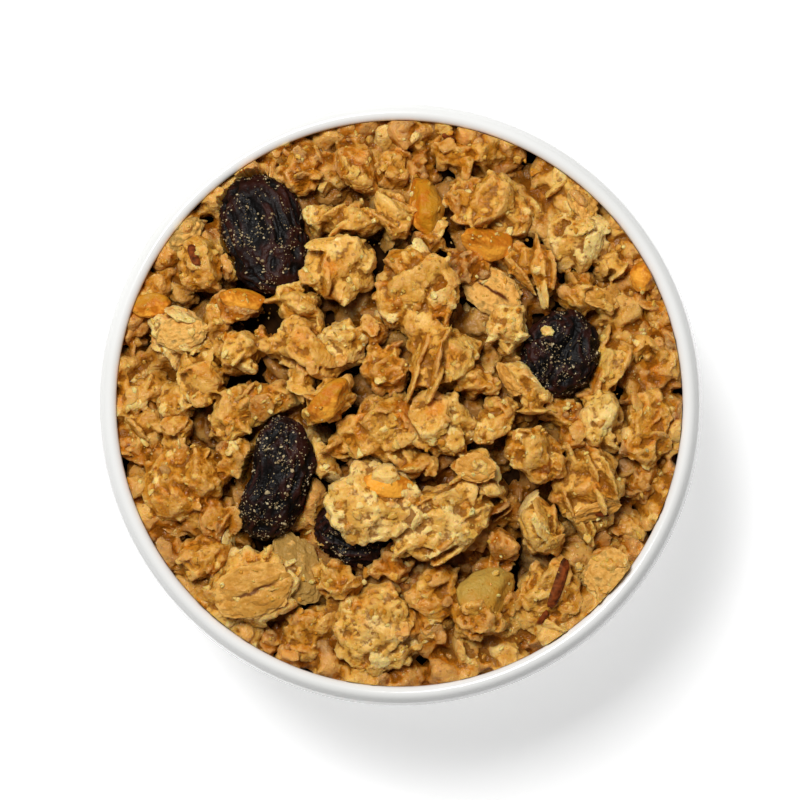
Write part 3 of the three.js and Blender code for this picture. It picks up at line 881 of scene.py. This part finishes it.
toast = numeric(tree, "ADD", layer_value(tree, "tint"), numeric(tree, "MULTIPLY", patch, 0.8))
colour = colour_scale(tree, toast, TINT_STOPS)
syrup = fade(tree, grain_noise(tree, 3.4 * MM, 2), 0.56, 0.7)
colour = mixed(tree, numeric(tree, "MULTIPLY", syrup, 0.7), colour, SYRUP)
speck = numeric(tree, "SUBTRACT", grain_noise(tree, 0.42 * MM, 2), 0.5)
crest = numeric(tree, "ADD", layer_value(tree, "crest"), numeric(tree, "MULTIPLY", speck, 2.0))
# brown in the creases: partly syrup pooled and toasted there, partly painted shade
crease = fade(tree, numeric(tree, "MULTIPLY", crest, -0.7), 0.06, 0.62)
colour = mixed(tree, numeric(tree, "MULTIPLY", crease, 0.8), colour, CREASE_SYRUP_AND_SHADE)
# paler crests: partly the oats' own paler dry edges, partly painted highlight
crest_highlight = fade(tree, numeric(tree, "MULTIPLY", crest, 0.5), 0.14, 0.8)
colour = mixed(tree, numeric(tree, "MULTIPLY", crest_highlight, 0.4), colour, CREST_CREAM_AND_HIGHLIGHT)
# dark specks in the fine pits that the bump sinks: partly bran, partly painted shade in the pits
pits = fade(tree, grain_noise(tree, 0.6 * MM, 1), 0.66, 0.74)
colour = mixed(tree, numeric(tree, "MULTIPLY", pits, 0.4), colour, BRAN_AND_PIT_SHADE)
# painted shade: oats that lie deep under the heap's eased relief are mixed towards SHADED, a dark
# olive-brown
sunk = numeric(tree, "MULTIPLY", layer_value(tree, "hollow"), 0.25)
sunk = fade(tree, sunk, 0.02, 0.8)
colour = mixed(tree, numeric(tree, "MULTIPLY", sunk, 0.76), colour, SHADED)
tree.links.new(colour, shader.inputs["Base Color"])
shader.inputs["Subsurface Weight"].default_value = 0.7
shader.inputs["Subsurface Radius"].default_value = (1.0, 0.65, 0.22)
shader.inputs["Subsurface Scale"].default_value = 0.7 * MM
gloss = fade(tree, grain_noise(tree, 0.8 * MM), 0.42, 0.66, 0.6, 0.2)
tree.links.new(gloss, shader.inputs["Roughness"])
pit_depth = numeric(tree, "MULTIPLY", pits, 0.5)
skin = numeric(tree, "SUBTRACT", grain_noise(tree, 0.26 * MM, 3), pit_depth)
add_bump(tree, shader, skin, 0.16 * MM, 0.8)
PALE_BELOW = 0.31
TOASTED_ABOVE = 0.47
ROUGHENING = ((0.8 * MM, 0.2 * MM), (0.36 * MM, 0.16 * MM))
cluster_piles = {"pale_clusters": Pile(), "golden_clusters": Pile(), "toasted_clusters": Pile()}
for index, (x, y, length, width, turn, lift, kind, tint) in enumerate(CLUSTERS):
    name = "golden_clusters"
    if tint < PALE_BELOW:
        name = "pale_clusters"
    if tint > TOASTED_ABOVE:
        name = "toasted_clusters"
    add_cluster(
        cluster_piles[name], np.random.default_rng([7, index]), x * MM, y * MM, length * MM,
        width * MM, turn, lift * MM, kind, tint,
    )
FINE_VOXEL = 0.2 * MM
FINE_SHARE = 0.43  # share of the triangles that is kept
cluster_pieces = []
for name, pile in cluster_piles.items():
    cluster_pieces.append(fused(name, pile, FINE_VOXEL, ROUGHENING, FINE_SHARE))


# --- Clusters under the surface --------------------------------------------------------------
# The next layer of the heap, seen in the gaps between the lumps on top. Smaller lumps of the same
# baked oats lie there at random, in the shade, and none is made where a lump on top covers it.
UNDER_STEP = 4.3  # mean distance between neighbours, in mm
UNDER_DEPTH = (-5.8, -3.2)
EDGE_DEPTH = (-2.4, -1.0)  # nearer the wall, where the heap would else show a dark ring
DEEP_GAPS = [  # x and y of gaps in which nothing lies near the surface, in mm
    (-24.3, 12.9), (-16.8, 14.2), (-16.2, 9.6), (-1.8, 16.7), (-18.1, 1.1), (-6.2, 4.8),
    (-8.1, -2.7), (1.1, 1.7), (8.8, 5.4), (17.6, -1.4), (4.7, 21.1), (3.8, 30.8), (16.9, 19.8),
    (19.4, 14.2), (15.1, -19.6), (-12.4, -25.8), (-26.8, -22.3), (31.9, -15.2),
]
DEEP_GAP_RADIUS = 2.7
COARSE_VOXEL = 0.3 * MM
COARSE_SHARE = 0.41
rng = np.random.default_rng(31)
under_pile = Pile()
rows = int(MOUTH_RADIUS / MM / UNDER_STEP) + 1
for row in range(-rows, rows + 1):
    for column in range(-rows, rows + 1):
        cell = np.array([column + 0.5 * (row % 2), 0.87 * row])
        x, y = (cell + rng.uniform(-0.3, 0.3, 2)) * UNDER_STEP
        length, width = rng.uniform(5.0, 7.4), rng.uniform(4.0, 5.4)
        at_edge = math.hypot(x, y) > MOUTH_RADIUS / MM - 6.5
        lift = rng.uniform(*(EDGE_DEPTH if at_edge else UNDER_DEPTH))
        turn, tint = rng.uniform(0, 180), rng.uniform(0.3, 0.85)
        kind = rng.choice(["crumbly", "plates", "smooth"])
        if math.hypot(x, y) > MOUTH_RADIUS / MM - 1.5:
            continue
        covered = any(math.hypot(x - gap[0], y - gap[1]) < DEEP_GAP_RADIUS for gap in DEEP_GAPS)
        for over in CLUSTERS:
            ahead = heading_at(over[4])[:2]
            offset = np.array([x - over[0], y - over[1]])
            along = offset @ ahead / (over[2] / 2)
            across = (offset @ np.array([-ahead[1], ahead[0]])) / (over[3] / 2)
            covered = covered or math.hypot(along, across) < 0.4
        if not covered:
            add_cluster(
                under_pile, rng, x * MM, y * MM, length * MM, width * MM, turn, lift * MM, kind, tint
            )
RING_RADIUS = 34.5  # clusters along the wall, nearly level with the lip, in mm
RING_COUNT = 44
for i in range(RING_COUNT):
    angle = 2 * math.pi * (i + rng.uniform(-0.25, 0.25)) / RING_COUNT
    away = RING_RADIUS + rng.uniform(-0.5, 0.3)
    x, y = away * math.cos(angle), away * math.sin(angle)
    length, width, lift = rng.uniform(4.8, 6.6), rng.uniform(3.8, 4.8), rng.uniform(0.2, 1.2)
    add_cluster(
        under_pile, rng, x * MM, y * MM, length * MM, width * MM, math.degrees(angle) + 90,
        lift * MM, "crumbly", rng.uniform(0.25, 0.75),
    )
under_clusters = fused("under_clusters", under_pile, COARSE_VOXEL, ROUGHENING, COARSE_SHARE)
cluster_pieces.append(under_clusters)

# The heap's eased relief: its highest points on a square grid, blurred over a few millimetres. What
# lies far under it is in the shade, and its colour is darkened and dulled there as painted shade.
RELIEF_CELL = 0.5 * MM
RELIEF_ROUNDS = 30
relief_side = math.ceil(2 * MOUTH_RADIUS / RELIEF_CELL) + 2


def relief_cells(points):
    """Grid row and column of each point."""
    cells = ((points[:, :2] + MOUTH_RADIUS) / RELIEF_CELL + 1).astype(int)
    return tuple(cells.clip(0, relief_side - 1).T)


relief = np.full((relief_side, relief_side), EDGE_LEVEL)
for piece in cluster_pieces:
    points = corners_of(piece.data)
    points = points[points[:, 2] > EDGE_LEVEL - BED_DEPTH]
    np.maximum.at(relief, relief_cells(points), points[:, 2])
for _ in range(RELIEF_ROUNDS):
    for axis in (0, 1):
        relief = (np.roll(relief, 1, axis) + relief + np.roll(relief, -1, axis)) / 3


def hollow_at(points):
    """How far each point lies under the heap's eased relief, in mm."""
    return (relief[relief_cells(points)] - points[:, 2]) / MM


for piece in cluster_pieces:
    keep_values(piece.data, "hollow", hollow_at(corners_of(piece.data)))
    finish_oats(piece, baked_oats)


# --- Whole flakes ----------------------------------------------------------------------------
# Rolled oats that lie face up on the lumps: oval, half a millimetre thick, ragged at the edge and
# curled, with the brown crease of the grain along the middle. Roasted almond slices lie there too.
heap_trees = [
    BVHTree.FromObject(piece, bpy.context.evaluated_depsgraph_get()) for piece in cluster_pieces
]

ABOVE_ALL = 0.1  # a height in metres that nothing reaches
DOWN = Vector((0, 0, -1))


def top_of_heap(x, y):
    """Highest point of the clusters at a place and the outward direction there."""
    hits = [tree.ray_cast(Vector((x, y, ABOVE_ALL)), DOWN) for tree in heap_trees]
    found = [(hit[0].z, hit[1]) for hit in hits if hit[0]]
    return max(found, key=lambda hit: hit[0]) if found else (EDGE_LEVEL, Vector((0, 0, 1)))


def laid(x, y, turn, length, width, rise):
    """Middle and turning matrix of a flat thing that lies on the clusters, raised by rise."""
    ahead = heading_at(turn)[:2]
    aside = np.array([-ahead[1], ahead[0]])
    spots = [
        np.array([x, y]) + ahead * length * i + aside * width * j
        for i in (-0.3, 0, 0.3) for j in (-0.3, 0, 0.3)
    ]
    heights = np.array([top_of_heap(*spot)[0] for spot in spots])
    plan = np.column_stack([np.array(spots) - (x, y), np.ones(len(spots))])
    slope_x, slope_y, level = np.linalg.lstsq(plan, heights, rcond=None)[0]
    normal = unit(np.array([-slope_x, -slope_y, 1.3]))
    return np.array([x, y, level + rise]), bases(normal, heading_at(turn))


def added_piece(name, corners, triangles, layers):
    """An object from corners and triangles, with numbers kept on its corners."""
    mesh = bpy.data.meshes.new(name)
    mesh.from_pydata(corners.tolist(), [], triangles.tolist())
    for layer_name, values in layers.items():
        keep_values(mesh, layer_name, values)
    mesh.shade_smooth()
    piece = bpy.data.objects.new(name, mesh)
    scene.collection.objects.link(piece)
    return piece


# x, y, length, width, thickness, in mm; turn in degrees; rise in mm; tint; crease, 0 to 1; curl
WHOLE_FLAKES = [
    (11.6, 14.1, 8.0, 5.8, 0.8, -34, 0.6, 0.14, 1.0, 0.4),
    (-18.1, -23.3, 9.8, 6.8, 0.8, 22, 0.95, 0.32, 0.9, 0.5),
    (-12.8, -20.6, 9.2, 6.0, 0.7, -64, 0.7, -0.08, 0.0, 0.3),
    (25.0, 13.2, 5.2, 2.8, 0.7, -8, 0.3, 0.34, 0.0, 0.2),
    (9.4, -7.9, 5.0, 3.6, 0.7, -10, 0.3, 0.34, 0.0, 0.3),
    (25.8, -21.0, 6.4, 5.0, 0.8, 35, 0.2, 0.16, 0.0, 0.2),
    (-27.2, 8.8, 6.4, 4.2, 0.7, 12, 0.3, 0.16, 0.0, 0.3),
    (24.6, -13.4, 6.4, 2.6, 0.7, 14, 0.5, 0.35, 0.7, 0.0),
    (-26.6, 21.2, 5.2, 3.0, 0.7, 42, 0.3, 0.05, 0.0, 0.5),
    (13.6, 3.0, 5.0, 2.6, 0.9, -38, 0.4, 0.3, 0.0, 0.2),
    (23.0, 25.2, 5.2, 3.6, 0.8, -60, 0.2, 0.22, 0.0, 0.2),
]
corners, triangles, along, across, tints, creases = [], [], [], [], [], []
for seed, row in enumerate(WHOLE_FLAKES, start=61):
    x, y, length, width, thick = (value * MM for value in row[:5])
    turn, rise, tint, crease, curl = row[5], row[6] * MM, row[7], row[8], row[9]
    form, faces = chunk_form(seed, 4, 0.1)
    ripple = np.array([noise.noise(Vector(point) * 2.6 + Vector((seed, 0, 0))) for point in form])
    edge = np.array([noise.noise(Vector(point) * 3.4 + Vector((0, seed, 0))) for point in form])
    grit = np.array([noise.noise(Vector(point) * 11 + Vector((0, 0, seed))) for point in form])
    flat = form * (1 + 0.12 * edge[:, None] + 0.06 * grit[:, None])
    flat *= np.array([length, width, thick]) / 2
    groove = crease * np.exp(-((flat[:, 1] / (0.35 * MM)) ** 2)) * (form[:, 2] > 0)
    flat[:, 2] += (0.14 * ripple + 0.1 * edge + 0.12 * grit - 0.24 * groove) * MM
    flat[:, 2] -= curl * (form[:, 0] ** 2 + 0.6 * form[:, 1] ** 2) * MM
    middle, turned = laid(x, y, turn, length, width, rise)
    triangles.append(faces + sum(len(part) for part in corners))
    corners.append(kept_clear(flat @ turned.T + middle))
    along.append(flat[:, 0] / (length / 2))
    across.append(flat[:, 1] / MM + 0.3 * ripple)
    rim = np.clip(np.hypot(form[:, 0], form[:, 1]) - 0.8, 0, 0.2)
    tints.append(tint + 0.16 * edge - 0.8 * rim)
    creases.append(np.full(len(form), crease))
whole_flakes = added_piece("whole_flakes", np.vstack(corners), np.vstack(triangles), {
    "along": np.concatenate(along), "across": np.concatenate(across),
    "tint": np.concatenate(tints), "crease": np.concatenate(creases),
})
whole_flakes.data.shade_flat()
flake_material, tree, shader = new_material("oat_flake", 0.46)
shader.inputs["Specular IOR Level"].default_value = 0.18
shader.inputs["Specular Tint"].default_value = SYRUP_GLINT
shader.inputs["Coat Weight"].default_value = 0.12
shader.inputs["Coat Roughness"].default_value = 0.14
veins = numeric(tree, "SUBTRACT", grain_noise(tree, 0.9 * MM, 3), 0.5)
toast = numeric(tree, "ADD", layer_value(tree, "tint"), numeric(tree, "MULTIPLY", veins, 0.7))
flake_stops = (
    (0.0, shade(176, 136, 68)), (0.14, shade(238, 182, 94)), (0.3, shade(212, 152, 66)),
    (0.5, shade(198, 134, 48)), (1.0, shade(146, 84, 24)),
)
colour = colour_scale(tree, toast, flake_stops)
stray = numeric(tree, "SUBTRACT", grain_noise(tree, 1.1 * MM), 0.5)
stray = numeric(tree, "MULTIPLY", stray, 0.8)
off_line = numeric(tree, "ADD", layer_value(tree, "across"), stray)
line = fade(tree, numeric(tree, "ABSOLUTE", off_line, 0.0), 0.1, 0.34, 1.0, 0.0)
reach = numeric(tree, "ABSOLUTE", layer_value(tree, "along"), 0.0)
line = numeric(tree, "MULTIPLY", line, fade(tree, reach, 0.45, 0.7, 1.0, 0.0))
line = numeric(tree, "MULTIPLY", line, layer_value(tree, "crease"))
colour = mixed(tree, line, colour, shade(96, 44, 20))
tree.links.new(colour, shader.inputs["Base Color"])
shader.inputs["Subsurface Weight"].default_value = 0.15
shader.inputs["Subsurface Radius"].default_value = (1.0, 0.6, 0.3)
shader.inputs["Subsurface Scale"].default_value = 0.6 * MM
add_bump(tree, shader, grain_noise(tree, 0.3 * MM, 3), 0.16 * MM, 0.8)
finish_oats(whole_flakes, flake_material)


# --- Almond pieces ---------------------------------------------------------------------------
# Chopped blanched almonds, roasted with the oats: smooth and dense, from green-cream to amber, and
# paler along one side than along the other.
# x, y, length, width, height, in mm; turn in degrees; rise; tint from 0, green-cream, to 1, amber
ALMONDS = [
    (3.2, 24.5, 7.6, 4.6, 3.2, -80, 1.3, 0.6),
    (10.9, 20.0, 7.0, 4.6, 3.2, -14, 1.5, 0.95),
    (10.9, -23.6, 8.6, 6.0, 3.2, 34, -0.1, 0.16),
    (-19.3, 12.9, 6.4, 3.0, 2.6, 4, 0.4, 0.8),
    (-31.2, 12.3, 5.0, 3.0, 2.6, 8, 0.5, 0.8),
    (31.0, 15.6, 4.8, 4.0, 3.2, -60, 0.3, 0.8),
    (-8.7, 0.3, 6.8, 4.4, 3.4, 38, 0.7, 0.86),
    (-1.4, -10.1, 7.0, 3.0, 1.6, -8, -0.2, 0.98),
]
almond_pile = Pile()
almond_tints = []
rng = np.random.default_rng(5)
for seed, (x, y, length, width, tall, turn, rise, tint) in enumerate(ALMONDS, start=101):
    middle, turned = laid(x * MM, y * MM, turn, length * MM, width * MM, rise * MM)
    semi = np.array([length, width, tall]) * MM / 2
    form = chunk_form(seed, 4, 0.12, 3)
    almond_pile.add(rng, [form], middle[None], turned[None], semi[None], np.zeros(1))
    almond_tints.append(tint - 0.3 * form[0][:, 1])
corners, triangles, _ = almond_pile.joined()
almonds = added_piece(
    "almond_pieces", kept_clear(corners), triangles, {"tint": np.concatenate(almond_tints)}
)
almond_material, tree, shader = new_material("roasted_almond", 0.4)
shader.inputs["Specular IOR Level"].default_value = 0.2
shader.inputs["Specular Tint"].default_value = SYRUP_GLINT
shader.inputs["Coat Weight"].default_value = 0.1
shader.inputs["Coat Roughness"].default_value = 0.2
streak = numeric(tree, "SUBTRACT", grain_noise(tree, 1.3 * MM, 3), 0.5)
tone = numeric(tree, "ADD", layer_value(tree, "tint"), numeric(tree, "MULTIPLY", streak, 1.0))
almond_stops = (
    (0.0, shade(190, 152, 68)), (0.35, shade(196, 138, 46)), (0.6, shade(200, 134, 26)),
    (0.8, shade(200, 112, 22)), (1.0, shade(250, 172, 58)),
)
tree.links.new(colour_scale(tree, tone, almond_stops), shader.inputs["Base Color"])
shader.inputs["Subsurface Weight"].default_value = 0.15
shader.inputs["Subsurface Radius"].default_value = (1.0, 0.6, 0.3)
shader.inputs["Subsurface Scale"].default_value = 0.8 * MM
add_bump(tree, shader, grain_noise(tree, 0.4 * MM, 3), 0.24 * MM, 0.8)
finish_oats(almonds, almond_material)


# --- Almond skins ----------------------------------------------------------------------------
# Torn strips of dark red-brown almond skin, thin and curled, stuck to the lumps.
# x, y, length, width in mm; turn in degrees
SKINS = [
    (19.8, -22.4, 6.2, 1.5, 72),
    (17.9, -26.8, 2.2, 0.7, 60),
    (-25.6, 18.4, 3.6, 1.1, 112),
    (6.2, 33.4, 1.8, 0.7, -20),
    (24.8, -13.8, 3.0, 0.5, 16),
]
SKIN_RISE = 0.25 * MM
SKIN_THICKNESS = 0.7  # in mm, with its curl left out
skin_pile = Pile()
for seed, (x, y, length, width, turn) in enumerate(SKINS, start=71):
    middle, turned = laid(x * MM, y * MM, turn, length * MM, width * MM, SKIN_RISE)
    semi = np.array([length, width, SKIN_THICKNESS]) * MM / 2
    form, faces = chunk_form(seed, 4, 0.2, 2, -0.25)
    form[:, :2] = np.sign(form[:, :2]) * np.abs(form[:, :2]) ** 0.6  # blunt ends
    skin_pile.add(rng, [(form, faces)], middle[None], turned[None], semi[None], np.zeros(1))
corners, triangles, _ = skin_pile.joined()
skins = added_piece("almond_skins", kept_clear(corners), triangles, {})
skin_material, tree, shader = new_material("almond_skin", 0.5)
shader.inputs["Specular IOR Level"].default_value = 0.2
shader.inputs["Specular Tint"].default_value = SYRUP_GLINT
skin_tone = ((0.35, shade(62, 20, 6)), (0.65, shade(146, 68, 26)))
tree.links.new(
    colour_scale(tree, grain_noise(tree, 0.8 * MM, 3), skin_tone), shader.inputs["Base Color"]
)
add_bump(tree, shader, grain_noise(tree, 0.5 * MM, 3), 0.15 * MM, 0.7)
finish_oats(skins, skin_material)


# --- Loose crumbs ----------------------------------------------------------------------------
# Fine broken oats that have fallen on the clusters and into the gaps between them.
def tints_at_corners(corners, triangles, tints):
    """The tint of each corner of a pile, from the tint of each triangle."""
    spread = np.zeros(len(corners))
    spread[triangles.ravel()] = np.repeat(tints, 3)
    return spread


CRUMB_COUNT = 1500
CRUMB_SIZES = (0.12 * MM, 0.8 * MM)  # smallest and largest half-width
heap_trees += [
    BVHTree.FromObject(piece, bpy.context.evaluated_depsgraph_get())
    for piece in (whole_flakes, almonds)
]
crumb_pile = Pile()
rng = np.random.default_rng(17)
reach = (MOUTH_RADIUS - 1 * MM) * np.sqrt(rng.uniform(0, 1, CRUMB_COUNT))
angle = rng.uniform(0, 2 * math.pi, CRUMB_COUNT)
spots = []
for x, y in zip(reach * np.cos(angle), reach * np.sin(angle)):
    level, normal = top_of_heap(x, y)
    on_raisin = any(
        np.linalg.norm(((np.array([x, y, level]) - middle) @ turned / semi)[:2]) < 1.05
        for middle, turned, semi in raisin_seats
    )
    if level > EDGE_LEVEL - 4 * MM and normal.z > 0.3 and not on_raisin:
        spots.append((x, y, level))
spots = np.array(spots)
sizes = rng.gamma(2.2, 0.13, (len(spots), 1)) * MM * rng.uniform(0.3, 1.3, (len(spots), 3))
sizes = np.clip(sizes, *CRUMB_SIZES)
turns = bases(rng.normal(size=(len(spots), 3)), rng.normal(size=(len(spots), 3)))
crumb_pile.add(rng, GRAINS, spots, turns, sizes, rng.uniform(0.0, 0.5, len(spots)))
corners, triangles, tints = crumb_pile.joined()
corner_tints = tints_at_corners(corners, triangles, tints)
corners = kept_clear(corners)

# One more lies on the right raisin
RAISIN_CRUMB_PLACE = (18.6 * MM, 9.0 * MM)
RAISIN_CRUMB_SEMI = (0.9, 0.75, 0.45)  # in mm
RAISIN_CRUMB_TINT = 0.1
raisin_tree = BVHTree.FromObject(raisin_pieces[1], bpy.context.evaluated_depsgraph_get())
landing = raisin_tree.ray_cast(Vector((*RAISIN_CRUMB_PLACE, ABOVE_ALL)), DOWN)[0].z
form, faces = chunk_form(90, 3, 0.45, 5)
triangles = np.vstack([triangles, faces + len(corners)])
crumb = form * np.array(RAISIN_CRUMB_SEMI) * MM + np.array([*RAISIN_CRUMB_PLACE, landing])
corners = np.vstack([corners, crumb])
corner_tints = np.append(corner_tints, np.full(len(form), RAISIN_CRUMB_TINT))
crumbs = added_piece("loose_crumbs", corners, triangles, {
    "tint": corner_tints, "crest": np.full(len(corners), 0.2), "hollow": hollow_at(corners),
})
crumbs.data.shade_flat()
finish_oats(crumbs, baked_oats)


# --- Oat dust on the raisins -----------------------------------------------------------------
# Specks of oat flour and sugar that stick to the raisins, thickest in their hollows.
DUST_PER_MM2 = 20.0
DUST_SIZE = 0.056  # mean half-width, in mm; a few are several times as large
DUST_PATCHES = [  # x, y and radius of the places where it lies thickest, in mm
    (-14.3, -4.9, 2.6), (-17.2, -12.7, 2.8), (-18.0, 21.0, 3.6), (20.4, 5.0, 3.6), (-6.0, -18.6, 2.4),
]
dust_forms = [chunk_form(seed, 0, 0.3) for seed in range(81, 87)]
dust_pile = Pile()
rng = np.random.default_rng(23)
for piece in raisin_pieces:
    corners = corners_of(piece.data)
    triangles = np.array([face.vertices[:] for face in piece.data.polygons])
    low, high = corners.min(axis=0), corners.max(axis=0)
    count = round(DUST_PER_MM2 * np.prod((high - low)[:2]) / MM**2)
    places, outward = upper_spots(rng, corners, triangles, count)
    clumping = np.array([noise.noise(Vector(place) / (1.6 * MM)) for place in places])
    for x, y, radius in DUST_PATCHES:
        away = np.hypot(places[:, 0] - x * MM, places[:, 1] - y * MM) / (radius * MM)
        clumping += 0.4 * np.exp(-(away**2))
    kept = rng.uniform(-0.1, 0.9, count) < clumping
    places = places[kept]
    sizes = DUST_SIZE * MM * rng.lognormal(0.1, 0.5, (len(places), 1))
    sizes = sizes * rng.uniform(0.5, 1.6, (len(places), 3))
    turns = bases(rng.normal(size=(len(places), 3)), rng.normal(size=(len(places), 3)))
    dust_pile.add(rng, dust_forms, places, turns, sizes, rng.uniform(0, 1, len(places)))
corners, triangles, tints = dust_pile.joined()
corner_tints = tints_at_corners(corners, triangles, tints)
dust = added_piece("oat_dust", corners, triangles, {"tint": corner_tints})
dust.data.shade_flat()
dust_material, tree, shader = new_material("oat_flour", 0.7)
dust_tones = ((0.0, shade(210, 192, 150)), (0.4, shade(166, 144, 102)), (1.0, shade(118, 90, 54)))
tree.links.new(colour_scale(tree, layer_value(tree, "tint"), dust_tones), shader.inputs["Base Color"])
finish_oats(dust, dust_material)
